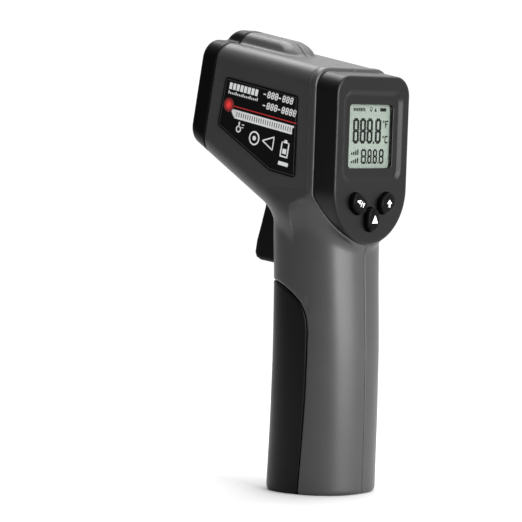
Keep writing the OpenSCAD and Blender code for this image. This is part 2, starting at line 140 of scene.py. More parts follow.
def rounded(a, b, r):
    """Both a and b, with a true round of radius r where they meet."""
    p, q = a + r, b + r
    return np.minimum(np.maximum(p, q), 0) + np.hypot(np.maximum(p, 0), np.maximum(q, 0)) - r


def box2(x, y, x0, y0, x1, y1, r):
    """Rectangle with round corners."""
    return rounded(np.abs(x - (x0 + x1) / 2) - (x1 - x0) / 2, np.abs(y - (y0 + y1) / 2) - (y1 - y0) / 2, r)


def half_plane(x, y, p, q):
    """Distance to the left of the line from p to q."""
    dx, dy = q[0] - p[0], q[1] - p[1]
    return (dx * (y - p[1]) - dy * (x - p[0])) / math.hypot(dx, dy)


def polygon(x, y, points):
    """Signed distance to a closed outline."""
    d = np.full(np.broadcast(x, y).shape, 1e9)
    inside = np.zeros(d.shape, bool)
    for (ax, ay), (bx, by) in zip(points, points[1:] + points[:1]):
        ex, ey = bx - ax, by - ay
        t = np.clip(((x - ax) * ex + (y - ay) * ey) / (ex * ex + ey * ey), 0, 1)
        d = np.minimum(d, np.hypot(x - ax - t * ex, y - ay - t * ey))
        if ay != by:
            crosses = ((ay > y) != (by > y)) & (x < ex * (y - ay) / ey + ax)
            inside ^= crosses
    return np.where(inside, -d, d)


def smooth_outline(points):
    """A closed outline with its corners cut repeatedly, which turns it into a curve."""
    for _ in range(3):
        points = [p for a, b in zip(points, points[1:] + points[:1])
                  for p in ((a[0] * .75 + b[0] * .25, a[1] * .75 + b[1] * .25),
                            (a[0] * .25 + b[0] * .75, a[1] * .25 + b[1] * .75))]
    return points


def level_at(z, column):
    """Handle value at a height, with soft changes of slope between the sections."""
    total = 0
    for shift in (-6, -3, 0, 3, 6):
        total = total + np.interp(z + shift, LEVELS[:, 0], LEVELS[:, column])
    return total / 5


def handle_side(x, y, z):
    """Handle without its ends: a slightly squared oval that changes along its height."""
    middle, a, b = (level_at(z, c) for c in (1, 2, 3))
    p = (x - middle) / a
    q = y / b
    m = (np.abs(p) ** HANDLE_POWER + np.abs(q) ** HANDLE_POWER + 1e-9) ** (1 / HANDLE_POWER)
    return (m - 1) * np.maximum(np.hypot(p * a, q * b), 1.0) / np.maximum(m, 0.05)


def handle(x, y, z):
    """Handle with its foot and its top, which ends inside the head."""
    return cut(rounded(handle_side(x, y, z), -z, 1.3), z - HANDLE_END, 2)


def d_outline(y, v, inset):
    """Outline of the display housing, square above and round below."""
    r = PANEL_R - inset
    upper = box2(y, v, -r, ARC_V - 40, r, PANEL_TOP - inset, PANEL_CORNER - inset)
    lower = np.hypot(y, v - ARC_V) - r
    return np.where(v > ARC_V, upper, lower)


def head(x, y, z):
    """Head with a sloping underside. Behind the handle its lower end follows the display housing."""
    u, w = head_uw(x, z)
    v = panel_nv(x, z)[1]
    height = np.maximum(w - HEAD_TOP, half_plane(x, z, SLOPE[1], SLOPE[0]))
    form = rounded(height, np.abs(y) - HEAD_HALF_W, HEAD_EDGE_R)
    form = rounded(form, MUZZLE - u, 1.2)
    fade = np.clip((v - ARC_V + 5) / 5, 0, 1) + np.clip((7 - x) / 4, 0, 1)
    lower_end = np.hypot(y, np.minimum(v - ARC_V, 0)) - PANEL_R + 0.2 - 1.2 * fade
    return np.where(x > 3, cut(form, lower_end, 1.0), form)


def ridge(x, y, z):
    """Laser ridge on top of the head, with slanted sides and a sloping tail that narrows."""
    u, w = head_uw(x, z)
    foot = (RIDGE_HALF_W, HEAD_TOP)
    shoulder = (RIDGE_TOP_HALF_W, RIDGE_TOP)
    nose = rounded(w - RIDGE_TOP, MUZZLE - u, 3.4)
    steep = half_plane(u, w, (-12.7, 20.4), (-9.5, 17.2))
    gentle = half_plane(u, w, (-15.1, RIDGE_TOP), (-12.5, 20.2))
    side = np.where(w > HEAD_TOP, half_plane(np.abs(y), w, shoulder, foot), np.abs(y) - RIDGE_HALF_W)
    plan = cut(side, half_plane(u, np.abs(y), (-12.5, RIDGE_HALF_W), (-9.5, 3.8)), 1.5)
    top = cut(nose, cut(steep, gentle, 1.5), 1.0)
    return cut(rounded(top, plan, 1.8), 14 - w, 0)


def collar(x, y, z):
    """Raised rim of the body round the display housing."""
    u, w = head_uw(x, z)
    n, v = panel_nv(x, z)
    upper = rounded(w - HEAD_TOP, np.abs(y) - PANEL_R - 0.3, HEAD_EDGE_R)
    lower = np.hypot(y, v - ARC_V) - PANEL_R - 0.3
    return rounded(np.where(v > ARC_V, upper, lower), -PANEL_DEPTH - 2.8 - n, 1.0)


def body(x, y, z):
    """Whole outer form behind the display housing's seam, flat on its sides where the labels are."""
    d = union(handle(x, y, z), head(x, y, z), 4.0)
    d = np.maximum(d, np.abs(y) - HEAD_HALF_W - 0.15 * np.maximum(96 - z, 0))
    d = union(d, collar(x, y, z), RIDGE_BLEND)
    return union(d, ridge(x, y, z), RIDGE_BLEND)


def cap_seam(x, z):
    """Negative on the display housing's side of its seam."""
    n, v = panel_nv(x, z)
    line = [(-PANEL_DEPTH, 60), (-PANEL_DEPTH, -16.8), (-1, -29.6), (-1, -33.5), (60, -33.5), (60, 60)]
    return polygon(n, v, line)


def along_y(x, z, at, r):
    """Round rod across the object."""
    return np.hypot(x - at[0], z - at[1]) - r


def ring_distance(y, w, height, r):
    """Round rod along the head, at a height above its axis."""
    return np.hypot(y, w - height) - r


DOOR_LINE = smooth_outline(DOOR_EDGE)


def shell(x, y, z, side):
    """One half of the body: a wall with posts, cut open for the door, trigger, bezel and display housing."""
    u = head_uw(x, z)[0]
    wide = np.abs(y)
    outer = body(x, y, z)
    posts = np.maximum(along_y(x, z, TRIGGER_PIVOT, 2.4), 6.0 - wide)
    for screw in SCREWS:
        posts = union(posts, along_y(x, z, screw, SCREW_POST_R))
    d = np.maximum(outer, union(-(outer + WALL), posts))
    d = cut(d, -door_room(x, y, z), 0.5)
    barrel = np.maximum(along_y(x, z, DOOR_PIVOT, 2.0), np.abs(wide - 8.4) - 2.0)
    d = union(d, barrel)
    slot = np.maximum(wide - TRIGGER_HALF_W - 0.35, polygon(x, z, TRIGGER_SLOT))
    d = cut(d, -slot, 0.4)
    d = cut(d, BEZEL_BACK + JOINT_GAP - u, 0.5)
    d = cut(d, JOINT_GAP - cap_seam(x, z), 0.5)
    for screw in SCREWS:
        pocket = np.maximum(along_y(x, z, screw, SCREW_HEAD_R), screw[2] - 1.6 - y)
        d = cut(d, -pocket, 0.4)
    hole = np.maximum(along_y(x, z, TRIGGER_PIVOT, 1.1), wide - 11)
    d = np.maximum(d, -hole)
    pin = np.maximum(along_y(x, z, DOOR_PIVOT, 0.9), wide - DOOR_PIN_END)
    d = np.maximum(d, -pin)
    notch = np.sqrt(((x - 8.2) / 1.6) ** 2 + ((wide - 17.4) / 2.2) ** 2 + ((z - 59.6) / 3.6) ** 2) - 1
    d = cut(d, -notch * 1.6, 0.6)
    return cut(d, SEAM_GAP - side * y, 0.25)


def door_room(x, y, z):
    """Room that the shells leave for the battery door and its ears. The foot plate stays inside its walls."""
    inside_door = handle_side(x, y, z) + DOOR_WALL + DOOR_GAP
    keep_foot = np.maximum(np.maximum(z - WALL, DOOR_PIVOT[0] - x), inside_door)
    opening = np.maximum(polygon(x, z, DOOR_LINE) - DOOR_GAP, -keep_foot)
    ear_r = EAR_R + 0.4
    below = np.maximum(np.abs(x - DOOR_PIVOT[0]) - ear_r, z - DOOR_PIVOT[1])
    ears = np.maximum(np.minimum(along_y(x, z, DOOR_PIVOT, ear_r), below), 10.6 - np.abs(y))
    return union(opening, ears)


def bezel(x, y, z):
    """Black muzzle: a funnel, the bore for the lens barrel and the laser's hole."""
    u, w = head_uw(x, z)
    d = union(head(x, y, z), ridge(x, y, z), RIDGE_BLEND)
    d = cut(d, u - BEZEL_BACK + 0.08, 0.5)
    funnel = ring_distance(y, w, OPTIC_W, 14.3 + (MUZZLE - u) * 0.72)
    d = cut(d, -cut(funnel, u - (MUZZLE + 4.2), 0.1), 0.8)
    d = cut(d, -np.maximum(ring_distance(y, w, OPTIC_W, BORE_R), MUZZLE + 2.5 - u), 0.3)
    hole = ring_distance(y, w, LASER_W, 1.4)
    wide = np.maximum(ring_distance(y, w, LASER_W, 2.3), BEZEL_BACK - 4.4 - u)
    return cut(d, -union(hole, wide), 0.3)


def cap(x, y, z):
    """Display housing: a shallow tray with the window, and the holes for the buttons."""
    n, v = panel_nv(x, z)
    top = v - (PANEL_TOP - 0.155 * n)
    upper = rounded(np.abs(y) - PANEL_R, top, PANEL_CORNER)
    lower = np.hypot(y, v - ARC_V) - PANEL_R
    outline = np.where(v > ARC_V, upper, lower)
    tray = box2(y, v, -RECESS[0], RECESS[1], RECESS[0], RECESS[2], 4.0)
    ease = np.clip(-tray / TRAY_SLOPE, 0, 1)
    d = rounded(outline, n + TRAY_DEPTH * ease * ease * (3 - 2 * ease), 0.9)
    inner = cut(d_outline(y, v, WALL), n + FACE_WALL, 0.6)
    d = cut(d, -inner, 0.3)
    pocket = box2(y, v, -LCD_POCKET[0], LCD_POCKET[1], LCD_POCKET[0], LCD_POCKET[2], 0.2)
    pocket = np.maximum(np.maximum(pocket, n - LCD_FACE - 0.05), -5 - n)
    d = np.maximum(d, -pocket)
    d = cut(d, cap_seam(x, z), 0.5)
    window = box2(y, v, -WINDOW[0], WINDOW[1], WINDOW[0], WINDOW[2], 1.2)
    d = cut(d, -window, 0.4)
    for b in BUTTONS.values():
        d = cut(d, -(button_outline(y, v, b) - 0.15), 0.3)
    return d


def button_outline(y, v, b, r=BUTTON_R):
    """Oval of one button on the display face."""
    a = math.radians(b[2])
    p, q = y - b[0], v - b[1]
    s, t = p * math.cos(a) + q * math.sin(a), -p * math.sin(a) + q * math.cos(a)
    return np.hypot(s - np.clip(s, -BUTTON_HALF, BUTTON_HALF), t) - r


def button(x, y, z, b):
    """Crowned key with a flange under the face and a stem on its switch."""
    n, v = panel_nv(x, z)
    side = button_outline(y, v, b)
    crown = n - BUTTON_RISE + 0.035 * (side + BUTTON_R) ** 2
    d = rounded(side, crown, 0.7)
    d = cut(d, -3.6 - n, 0.2)
    flange = np.maximum(button_outline(y, v, b, 3.0), np.abs(n + 3.5) - 0.5)
    stem = np.maximum(np.hypot(y - b[0], v - b[1]) - 1.4, np.abs(n + 4.3) - 1.3)
    return union(union(d, flange), stem)


def door(x, y, z):
    """Battery door: the front half of the grip, open behind, with two ears at its foot."""
    d = cut(handle(x, y, z), polygon(x, z, DOOR_LINE), 0.6)
    floor = np.maximum(z - DOOR_WALL, x + 8.3)
    hollow = np.maximum(handle_side(x, y, z) + DOOR_WALL, -floor)
    ears = np.maximum(along_y(x, z, DOOR_PIVOT, EAR_R), np.abs(np.abs(y) - 12.75) - 1.85)
    hollow = np.maximum(hollow, -ears)
    d = cut(d, -hollow, 0.3)
    pin = np.maximum(along_y(x, z, DOOR_PIVOT, DOOR_PIN_R), np.abs(y) - DOOR_PIN_END)
    return np.maximum(d, -pin)


def trigger(x, y, z):
    """Trigger with its hub, the arm up to it and the pocket for the spring."""
    wide = np.abs(y) - TRIGGER_HALF_W
    d = rounded(polygon(x, z, TRIGGER_EDGE), wide, 1.3)
    hub = np.maximum(along_y(x, z, TRIGGER_PIVOT, 2.6), wide)
    arm = np.maximum(box2(x, z, -12, 86, -8.4, TRIGGER_PIVOT[1], 0.3), wide + 0.6)
    d = union(union(d, hub, 0.4), arm, 0.3)
    d = np.maximum(d, -along_y(x, z, TRIGGER_PIVOT, TRIGGER_PIN_R))
    pocket = np.maximum(np.hypot(y, z - SPRING_Z) - 2.3, -14.4 - x)
    return np.maximum(d, -pocket)


# ---------- turning a distance function into a mesh ----------

def surface(f, lo, hi, step, chunk=24):
    """Points and quads of the surface f = 0 in a box, one point for each grid cell the surface crosses."""
    counts = [int(math.ceil((b - a) / step)) + 1 for a, b in zip(lo, hi)]
    axes = [a + step * np.arange(c) for a, c in zip(lo, counts)]
    values = np.empty(counts, np.float32)
    for i in range(0, counts[0], chunk):
        x = axes[0][i:i + chunk, None, None]
        y = axes[1][None, :, None]
        z = axes[2][None, None, :]
        values[i:i + chunk] = f(x, y, z)
    inside = values < 0
    total = np.zeros([c - 1 for c in counts] + [3], np.float32)
    hits = np.zeros([c - 1 for c in counts], np.float32)
    quads = []
    for axis in range(3):
        a, b = [slice(None)] * 3, [slice(None)] * 3
        a[axis], b[axis] = slice(None, -1), slice(1, None)
        crossing = inside[tuple(a)] != inside[tuple(b)]
        index = np.argwhere(crossing)
        va, vb = values[tuple(a)][crossing], values[tuple(b)][crossing]
        point = index.astype(np.float32)
        point[:, axis] += va / (va - vb)
        others = [k for k in range(3) if k != axis]
        cells = []
        for da, db in ((0, 0), (-1, 0), (-1, -1), (0, -1)):
            c = index.copy()
            c[:, others[0]] += da
            c[:, others[1]] += db
            ok = np.all((c >= 0) & (c < np.array(hits.shape)), 1)
            np.add.at(total, tuple(c[ok].T), point[ok])
            np.add.at(hits, tuple(c[ok].T), 1)
            cells.append(c)
        cells = np.stack(cells, 1)
        fine = np.all((cells >= 0) & (cells < np.array(hits.shape)), (1, 2))
        quads.append(cells[fine])
    used = hits > 0
    number = np.full(hits.shape, -1, np.int64)
    number[used] = np.arange(int(used.sum()))
    points = total[used] / hits[used][:, None] * step + np.array(lo)
    faces = number[tuple(np.moveaxis(np.concatenate(quads), 2, 0))]
    points = project(f, points, step)
    corner = points[faces]
    normal = np.cross(corner[:, 2] - corner[:, 0], corner[:, 3] - corner[:, 1])
    backwards = (normal * slope_of(f, corner.mean(1), step * 0.3)).sum(1) < 0
    faces[backwards] = faces[backwards][:, ::-1]
    return points, faces


def slope_of(f, points, h):
    """Gradient of the distance, taken over a small way h on each side."""
    ways = np.eye(3) * h
    return np.stack([f(*(points + way).T) - f(*(points - way).T) for way in ways], 1) / (2 * h)


def project(f, points, step):
    """Moves points onto the surface, by at most half a cell in each of a few steps."""
    start = points.copy()
    for _ in range(3):
        d = f(*points.T)
        g = slope_of(f, points, step * 0.2)
        move = -(d / np.maximum((g ** 2).sum(1), 0.2))[:, None] * g
        points = points + np.clip(move, -step * 0.3, step * 0.3)
    return start + np.clip(points - start, -step * 0.6, step * 0.6)


def solid(name, f, lo, hi, step, body_name, material, slot_name, *nodes):
    """A moulded piece made from a distance function in millimetres, standing for the given CAD nodes."""
    points, faces = surface(f, lo, hi, step)
    mesh = bpy.data.meshes.new(name)
    mesh.from_pydata((points * MM).tolist(), [], faces.tolist())
    mesh.validate()
    mesh.polygons.foreach_set("use_smooth", [True] * len(mesh.polygons))
    mesh.materials.append(material)
    piece = bpy.data.objects.new(name, mesh)
    bpy.context.collection.objects.link(piece)
    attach(piece, body_name)
    if nodes:
        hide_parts(*nodes)
    return piece


# ---------- materials ----------

def principled(name, colour, roughness, **inputs):
    """Plain material. Other inputs are named as in the shader, with _ for a space."""
    m = bpy.data.materials.new(name)
    m.use_nodes = True
    shader = m.node_tree.nodes["Principled BSDF"]
    shader.inputs["Base Color"].default_value = (*colour, 1)
    shader.inputs["Roughness"].default_value = roughness
    for key, value in inputs.items():
        shader.inputs[key.replace("_", " ")].default_value = value
    return m


def node(m, kind, **values):
    """Adds a shader node and sets its inputs."""
    made = m.node_tree.nodes.new(kind)
    for key, value in values.items():
        made.inputs[key].default_value = value
    return made


def moulded(name, colour, roughness, grain=3500.0, bump=0.05, cloud=0.12, **inputs):
    """Moulded plastic: a fine spark-eroded grain, faint cloudy gloss and a slightly uneven colour."""
    m = principled(name, colour, roughness, **inputs)
    tree = m.node_tree
    shader = tree.nodes["Principled BSDF"]
    place = node(m, "ShaderNodeTexCoord")
    fine = node(m, "ShaderNodeTexNoise", Scale=grain, Detail=2.0, Roughness=0.6)
    broad = node(m, "ShaderNodeTexNoise", Scale=60.0, Detail=4.0, Roughness=0.55)
    for t in (fine, broad):
        tree.links.new(place.outputs["Object"], t.inputs["Vector"])
    rough = node(m, "ShaderNodeMapRange")
    rough.inputs["To Min"].default_value = roughness - cloud * 0.5
    rough.inputs["To Max"].default_value = roughness + cloud * 0.5
    tree.links.new(broad.outputs["Fac"], rough.inputs["Value"])
    tree.links.new(rough.outputs["Result"], shader.inputs["Roughness"])
    tint = node(m, "ShaderNodeValToRGB")
    tint.color_ramp.elements[0].position, tint.color_ramp.elements[1].position = 0.3, 0.7
    tint.color_ramp.elements[0].color = (*[c * 0.93 for c in colour], 1)
    tint.color_ramp.elements[1].color = (*[c * 1.07 for c in colour], 1)
    tree.links.new(broad.outputs["Fac"], tint.inputs["Fac"])
    tree.links.new(tint.outputs["Color"], shader.inputs["Base Color"])
    relief = node(m, "ShaderNodeBump", Strength=bump, Distance=0.0001)
    tree.links.new(fine.outputs["Fac"], relief.inputs["Height"])
    tree.links.new(relief.outputs["Normal"], shader.inputs["Normal"])
    return m


GREY = moulded("grey_shell", (0.029, 0.0292, 0.0298), 0.38, bump=0.25, Specular_IOR_Level=0.5)
BLACK = moulded("black_gloss", (0.0016, 0.0016, 0.0017), 0.32, bump=0.12, Specular_IOR_Level=0.1)
DOOR_BLACK = moulded("black_satin", (0.0025, 0.0025, 0.0026), 0.36, bump=0.2, Specular_IOR_Level=0.12)
PANEL = moulded("panel_plastic", (0.0022, 0.0022, 0.0023), 0.33, bump=0.15, Specular_IOR_Level=0.24)
RUBBER = moulded("button_rubber", (0.0015, 0.0015, 0.0016), 0.36, bump=0.2, Specular_IOR_Level=0.06)
DARK = moulded("inner_black", (0.012, 0.012, 0.012), 0.55, bump=0.2)
STEEL = moulded("bright_steel", (0.62, 0.62, 0.63), 0.28, grain=900.0, bump=0.06, Metallic=1.0)
SCREW = moulded("blackened_steel", (0.14, 0.14, 0.145), 0.35, grain=900.0, bump=0.08, Metallic=1.0)
BRASS = moulded("turned_brass", (0.66, 0.47, 0.2), 0.3, grain=900.0, bump=0.06, Metallic=1.0)
BOARD = moulded("solder_mask", (0.02, 0.12, 0.05), 0.3, grain=1500.0, bump=0.1)
CHIP = moulded("chip_epoxy", (0.014, 0.014, 0.015), 0.5, bump=0.3)
ZEBRA = moulded("zebra_rubber", (0.62, 0.3, 0.38), 0.6)
DIFFUSER = moulded("milky_sheet", (0.75, 0.77, 0.78), 0.4)
LENS = moulded("milky_lens", (0.62, 0.66, 0.68), 0.25, Alpha=0.75)
CELL = moulded("cell_sleeve", (0.2, 0.22, 0.25), 0.25, grain=400.0, bump=0.05)
RED_WIRE = moulded("red_sleeve", (0.45, 0.02, 0.02), 0.4)
WHITE_WIRE = moulded("white_sleeve", (0.7, 0.7, 0.68), 0.4)
BLUE_WIRE = moulded("blue_sleeve", (0.03, 0.05, 0.4), 0.4)
STICKER = moulded("label_film", (0.0016, 0.0016, 0.0018), 0.45, grain=1800.0, bump=0.05,
                  Specular_IOR_Level=0.1)
INK = moulded("white_ink", (0.72, 0.73, 0.73), 0.45, bump=0.05)
GREY_INK = moulded("grey_ink", (0.045, 0.045, 0.047), 0.45, bump=0.05)
LASER_GLASS = principled("red_glass", (0.35, 0.02, 0.02), 0.08)
WINDOW_GLASS = principled("clear_window", (0.02, 0.022, 0.02), 0.05, Alpha=0.07)
LCD = moulded("lcd_film", (0.21, 0.25, 0.215), 0.45, grain=2500.0, bump=0.03, cloud=0.05)
SEGMENT = principled("lcd_ink", (0.004, 0.005, 0.0045), 0.6, Specular_IOR_Level=0.08)


def painted_glow_material(name, colour, strength):
    """Red print that seems to shine a little, by a painted glow: it emits a little light of its own colour,
    though it is print and no lamp.
    """
    m = principled(name, colour, 0.5)
    shader = m.node_tree.nodes["Principled BSDF"]
    shader.inputs["Emission Color"].default_value = (*colour, 1)
    shader.inputs["Emission Strength"].default_value = strength
    return m


# Painted glow: the red beam and the spot at its start are print on the label, yet they emit a little light.
BEAM = painted_glow_material("red_beam", (0.35, 0.012, 0.012), 0.25)
GLOW = [painted_glow_material(f"red_glow_{k}", (0.10 + 0.16 * k, 0.004 + 0.006 * k, 0.004 + 0.006 * k), 0.06 * k)
        for k in range(5)]

for name, material in {
    "laser_window": LASER_GLASS, "laser_module": BRASS, "lens_barrel": DARK, "fresnel_lens": LENS,
    "lens_ring": DARK, "ir_sensor": STEEL, "sensor_board": BOARD, "display_window": WINDOW_GLASS,
    "lcd_glass": LCD, "lcd_backlight": DIFFUSER, "lcd_connector": ZEBRA, "main_board": BOARD,
    "control_chip": CHIP, "buzzer": DARK, "button_switches": DARK, "trigger_pin": STEEL,
    "trigger_spring": STEEL, "trigger_switch": DARK, "door_pins": STEEL, "battery_tray": DARK,
    "contact_springs": STEEL, "contact_plates": STEEL, "cell_left": CELL, "cell_right": CELL,
    "case_screws": SCREW, "board_screws": STEEL, "laser_lead": RED_WIRE,
    "sensor_lead": WHITE_WIRE, "battery_lead": BLUE_WIRE, "left_label": STICKER, "right_label": STICKER,
}.items():
    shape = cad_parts[name]
    shape.data.materials.clear()
    shape.data.materials.append(material)

# ---------- moulded pieces ----------

# Grid steps in millimetres
STEP, CAP_STEP, BUTTON_STEP = ((0.45, 0.3, 0.16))
for side, label in ((-1, "left"), (1, "right")):
    lo = (-42, min(0, side * 19.5) - 1.5, -1.5)
    hi = (24, max(0, side * 19.5) + 1.5, 149)
    solid(f"{label}_shell_moulded", lambda x, y, z, s=side: shell(x, y, z, s), lo, hi, STEP, "case", GREY,
          "plastic_grey", f"{label}_shell")
solid("front_bezel_moulded", bezel, (-46, -19, 103), (-24, 19, 150), STEP * 0.8, "case", BLACK,
      "plastic_black", "front_bezel")
solid("rear_cap_moulded", cap, (9, -19, 76), (25, 19, 134), CAP_STEP, "case", PANEL, "plastic_black",
      "rear_cap")
solid("battery_door_moulded", door, (-20, -17, -1.5), (9.5, 17, 69), STEP, "battery_door", DOOR_BLACK,
      "plastic_black", "battery_door")
solid("trigger_moulded", trigger, (-25.5, -6.5, 70), (-6, 6.5, 99.5), STEP * 0.8, "trigger", DOOR_BLACK,
      "plastic_black", "trigger")
for name, b in BUTTONS.items():
    x0, z0 = FACE_X + b[1] * math.sin(PANEL_LEAN), FACE_Z + b[1]
    solid(f"{name}_moulded", lambda x, y, z, b=b: button(x, y, z, b), (x0 - 7, b[0] - 5, z0 - 5),
          (x0 + 3.5, b[0] + 5, z0 + 5), BUTTON_STEP, name, RUBBER, "plastic_black", name)


# ---------- printed shapes ----------

def head_point(u, y, w):
    """Place in metres of a point given along, across and up the head."""
    return Vector((u * math.cos(HEAD_TILT) + w * math.sin(HEAD_TILT), y,
                   HEAD_Z - u * math.sin(HEAD_TILT) + w * math.cos(HEAD_TILT))) * MM


def panel_point(n, y, v):
    """Place in metres of a point given out of, across and up the display face."""
    return Vector((FACE_X + n * math.cos(PANEL_LEAN) + v * math.sin(PANEL_LEAN), y,
                   FACE_Z - n * math.sin(PANEL_LEAN) + v * math.cos(PANEL_LEAN))) * MM


def prints(name, shapes, place, lift, material, body_name="case"):
    """Flat printed shapes: each is an outline of two-dimensional points, given a small thickness."""
    points, faces = [], []
    for shape in shapes:
        base = len(points)
        k = len(shape)
        points += [place(p, 0.0) for p in shape] + [place(p, lift) for p in shape]
        faces.append([base + k + i for i in range(k)])
        faces.append([base + k - 1 - i for i in range(k)])
        faces += [[base + i, base + (i + 1) % k, base + k + (i + 1) % k, base + k + i] for i in range(k)]
    mesh = bpy.data.meshes.new(name)
    mesh.from_pydata(points, [], faces)
    mesh.validate()
    mesh.materials.append(material)
    piece = bpy.data.objects.new(name, mesh)
    bpy.context.collection.objects.link(piece)
    bm = bmesh.new()
    bm.from_mesh(mesh)
    bmesh.ops.recalc_face_normals(bm, faces=bm.faces)
    bm.to_mesh(mesh)
    bm.free()
    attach(piece, body_name)
    return piece


def bar(x0, y0, x1, y1, slant=0.0):
    """Rectangle whose top is moved sideways by slant."""
    return [(x0, y0), (x1, y0), (x1 + slant, y1), (x0 + slant, y1)]


def line(a, b, width):
    """Straight stroke from a to b."""
    dx, dy = b[0] - a[0], b[1] - a[1]
    k = width / 2 / math.hypot(dx, dy)
    ox, oy = -dy * k, dx * k
    return [(a[0] - ox, a[1] - oy), (b[0] - ox, b[1] - oy), (b[0] + ox, b[1] + oy), (a[0] + ox, a[1] + oy)]


def disc(x, y, r, count):
    """Round outline with a number of corners."""
    turns = [2 * math.pi * k / count for k in range(count)]
    return [(x + r * math.cos(t), y + r * math.sin(t)) for t in turns]


def ring(x, y, r, width, count):
    """Round stroke made of short bars."""
    out = []
    for k in range(count):
        a, b = (math.radians(360 * j / count) for j in (k, k + 1.02))
        out.append([(x + (r + s) * math.cos(t), y + (r + s) * math.sin(t))
                    for s, t in ((-width / 2, a), (width / 2, a), (width / 2, b), (-width / 2, b))])
    return out


# Ends of the seven bars of a figure eight, on a grid one wide and two high
SEGMENTS = ((0, 2, 1, 2), (1, 1, 1, 2), (1, 0, 1, 1), (0, 0, 1, 0), (0, 0, 0, 1), (0, 1, 0, 2), (0, 1, 1, 1))


def digit(x, y, w, h, stroke, slant=0.0):
    """Seven bars of a figure eight, from its lower left corner. Their ends are slightly pointed."""
    shapes = []
    gap = stroke * 0.06
    for x0, y0, x1, y1 in SEGMENTS:
        a = (x + stroke / 2 + (w - stroke) * x0, y + stroke / 2 + (h - stroke) / 2 * y0)
        b = (x + stroke / 2 + (w - stroke) * x1, y + stroke / 2 + (h - stroke) / 2 * y1)
        dx, dy = b[0] - a[0], b[1] - a[1]
        length = math.hypot(dx, dy)
        ux, uy = dx / length, dy / length
        half = stroke / 2
        a = (a[0] + ux * gap, a[1] + uy * gap)
        b = (b[0] - ux * gap, b[1] - uy * gap)
        tip = half * 0.25
        shapes.append([a, (a[0] + ux * tip + uy * half, a[1] + uy * tip - ux * half),
                       (b[0] - ux * tip + uy * half, b[1] - uy * tip - ux * half), b,
                       (b[0] - ux * tip - uy * half, b[1] - uy * tip + ux * half),
                       (a[0] + ux * tip - uy * half, a[1] + uy * tip + ux * half)])
    return [[(px + slant * (py - y), py) for px, py in s] for s in shapes]


# Display: places are in millimetres from the lower left corner of the visible window
WIN_LEFT = -8.5
WIN_W, WIN_H = WINDOW[0] - WIN_LEFT, WINDOW[2] - WINDOW[1]


def on_lcd(p, lift):
    return panel_point(LCD_FACE + 0.01 + lift, WIN_LEFT + p[0], WINDOW[1] + p[1])


def lcd_bar(x0, y0, x1, y1):
    """Bar given in fractions of the window."""
    return bar(x0 * WIN_W, y0 * WIN_H, x1 * WIN_W, y1 * WIN_H)


def lcd_row(spans, points, low, height, stroke, point_r, point_low, corners):
    """Row of figure eights with decimal points. Spans and points are fractions of the window's width."""
    shapes = []
    for x0, x1 in spans:
        shapes += digit(x0 * WIN_W, low * WIN_H, (x1 - x0) * WIN_W, height * WIN_H, stroke)
    return shapes + [disc(x * WIN_W, point_low * WIN_H, point_r, corners) for x in points]


lit = lcd_row(((.07, .225), (.245, .40), (.42, .575), (.635, .79)), (.605,), .385, .40, 0.95, 0.42, .40, 12)
lit += lcd_row(((.295, .43), (.46, .57), (.60, .71), (.755, .88)), (.445, .585, .735), .065, .235, 0.68, 0.27,
               .08, 10)
# Degree marks with the two unit letters
for y0, letter in ((.63, "F"), (.39, "C")):
    x, y = .845 * WIN_W, y0 * WIN_H
    lit += ring(x + 0.1, y + 2.0, 0.3, 0.26, 10)
    if letter == "F":
        lit += [bar(x + 0.8, y, x + 1.25, y + 2.4), bar(x + 1.2, y + 1.95, x + 2.3, y + 2.4),
                bar(x + 1.2, y + 1.0, x + 2.0, y + 1.4)]
    else:
        lit += [bar(x + 0.8, y + 0.3, x + 1.25, y + 2.1), bar(x + 1.0, y + 1.95, x + 2.3, y + 2.4),
                bar(x + 1.0, y, x + 2.3, y + 0.45)]
# Two bar gauges at the lower left
for y0 in (.205, .075):
    for k, height in enumerate((0.7, 1.0, 1.35, 1.7)):
        x, y = .045 * WIN_W + k * 0.95, y0 * WIN_H
        lit.append(bar(x, y, x + 0.62, y + height))
# Along the top: a row of ticks, a lamp, a triangle and a cell
for k in range(7):
    x = .07 * WIN_W + k * 0.82
    lit.append(bar(x, .895 * WIN_H, x + 0.55, .945 * WIN_H))
lit += ring(.52 * WIN_W, .93 * WIN_H, 0.5, 0.25, 12) + [lcd_bar(.51, .885, .53, .90)]
lit.append([(.60 * WIN_W, .89 * WIN_H), (.66 * WIN_W, .89 * WIN_H), (.63 * WIN_W, .955 * WIN_H)])
lit += [lcd_bar(.75, .895, .90, .95), lcd_bar(.90, .91, .915, .935)]
prints("display_figures", lit, on_lcd, 0.02, SEGMENT)


# Button marks
def on_button(b):
    """Places points on the crown of a button."""
    def place(p, lift):
        r = math.hypot(p[0], p[1])
        return panel_point(BUTTON_RISE - 0.05 - 0.012 * r * r + lift, b[0] + p[0], b[1] + p[1])
    return place


unit_mark = ring(-1.5, 0.75, 0.28, 0.22, 10) + [
    bar(-1.05, 0.0, -0.7, 1.15), bar(-0.8, 0.85, -0.1, 1.15), bar(-0.8, 0.0, -0.1, 0.3),
    line((-0.35, -0.9), (0.45, 0.75), 0.24), bar(0.65, -1.1, 0.98, 0.25), bar(0.9, -0.05, 1.6, 0.25),
    bar(0.9, -0.55, 1.4, -0.28)]
lamp_mark = [[(-1.15, -0.1), (1.15, -0.1), (0, 1.2)], bar(-0.38, -1.2, 0.38, 0.0)]
laser_mark = [[(-1.35, -1.1), (1.35, -1.1), (0.12, 1.3), (-0.12, 1.3)]]
for name, mark in (("unit_button", unit_mark), ("lamp_button", lamp_mark), ("laser_button", laser_mark)):
    prints(f"{name}_mark", mark, on_button(BUTTONS[name]), 0.13, INK, name)


# Label graphics, in head coordinates: u along the head, w square to it
def on_label(side):
    """Places points on the film of one side's label."""
    def place(p, lift):
        return head_point(p[0], side * (HEAD_HALF_W + 0.2 + lift), p[1])
    return place


